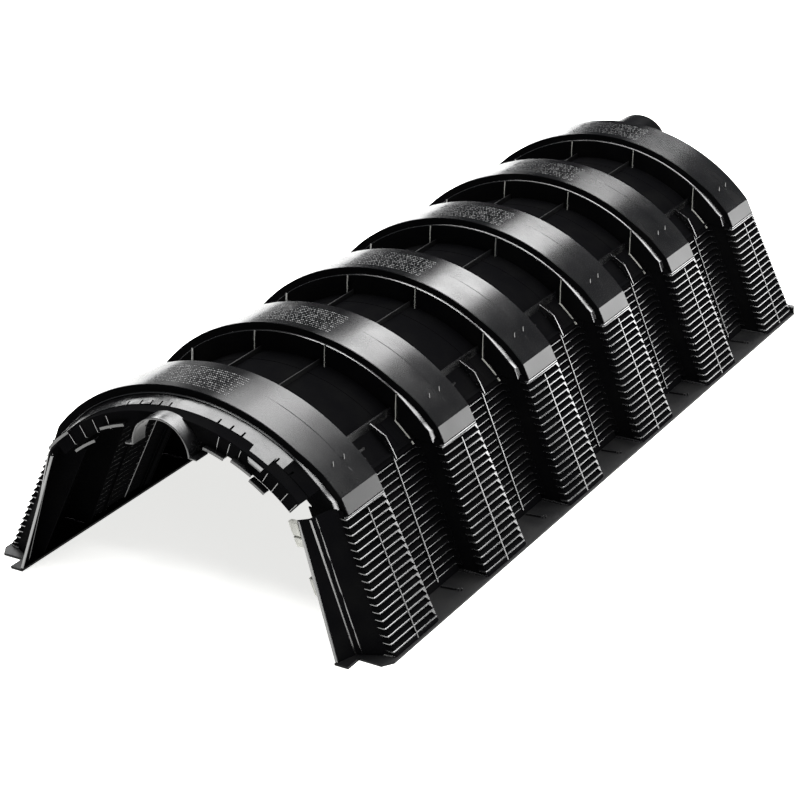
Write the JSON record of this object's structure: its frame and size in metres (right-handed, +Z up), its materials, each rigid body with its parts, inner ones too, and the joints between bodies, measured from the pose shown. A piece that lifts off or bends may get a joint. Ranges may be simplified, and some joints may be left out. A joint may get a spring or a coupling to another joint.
{
  "type": "leaching chamber",
  "caption": "Arched, louvred, open-bottomed black plastic chamber laid end to end in a trench to carry and seep away water; joint ledge at the front, pipe dome at the rear.",
  "frame": {"origin": "bottom centre of the bounding box, on the ground under the middle of the chamber", "axes": "+Y along the chamber from the front joint to the rear joint, +Z up, +X to the right seen from the front"},
  "size_m": [0.8636, 1.905, 0.4064],
  "materials": {
    "crest_skin": "black polyethylene, satin to glossy moulded skin",
    "valley_skin": "black polyethylene, satin, dusty in the hollows",
    "louvre_wall": "black polyethylene, glossy on the slat edges",
    "base_flange": "black polyethylene, satin",
    "joint_parts": "black polyethylene, satin to glossy moulded skin"
  },
  "bodies": {
    "root": {"base_flange_left": "base_flange", "base_flange_right": "base_flange", "crest_arch_1": "crest_skin", "crest_arch_2": "crest_skin", "crest_arch_3": "crest_skin", "crest_arch_4": "crest_skin", "crest_arch_5": "crest_skin", "crest_arch_6": "crest_skin", "crest_louvre_left_1": "louvre_wall", "crest_louvre_left_2": "louvre_wall", "crest_louvre_left_3": "louvre_wall", "crest_louvre_left_4": "louvre_wall", "crest_louvre_left_5": "louvre_wall", "crest_louvre_left_6": "louvre_wall", "crest_louvre_right_1": "louvre_wall", "crest_louvre_right_2": "louvre_wall", "crest_louvre_right_3": "louvre_wall", "crest_louvre_right_4": "louvre_wall", "crest_louvre_right_5": "louvre_wall", "crest_louvre_right_6": "louvre_wall", "front_joint_ledge": "joint_parts", "front_joint_leg_left": "joint_parts", "front_joint_leg_right": "joint_parts", "front_latch_hook": "joint_parts", "front_lip_left_1": "joint_parts", "front_lip_left_2": "joint_parts", "front_lip_left_3": "joint_parts", "front_lip_right_1": "joint_parts", "front_lip_right_2": "joint_parts", "front_lip_right_3": "joint_parts", "front_lock_lug": "joint_parts", "front_pipe_arch": "joint_parts", "rear_joint_collar": "joint_parts", "rear_pipe_dome": "joint_parts", "valley_arch_1": "valley_skin", "valley_arch_2": "valley_skin", "valley_arch_3": "valley_skin", "valley_arch_4": "valley_skin", "valley_arch_5": "valley_skin", "valley_louvre_left_1": "louvre_wall", "valley_louvre_left_2": "louvre_wall", "valley_louvre_left_3": "louvre_wall", "valley_louvre_left_4": "louvre_wall", "valley_louvre_left_5": "louvre_wall", "valley_louvre_right_1": "louvre_wall", "valley_louvre_right_2": "louvre_wall", "valley_louvre_right_3": "louvre_wall", "valley_louvre_right_4": "louvre_wall", "valley_louvre_right_5": "louvre_wall"}
  },
  "joints": []
}
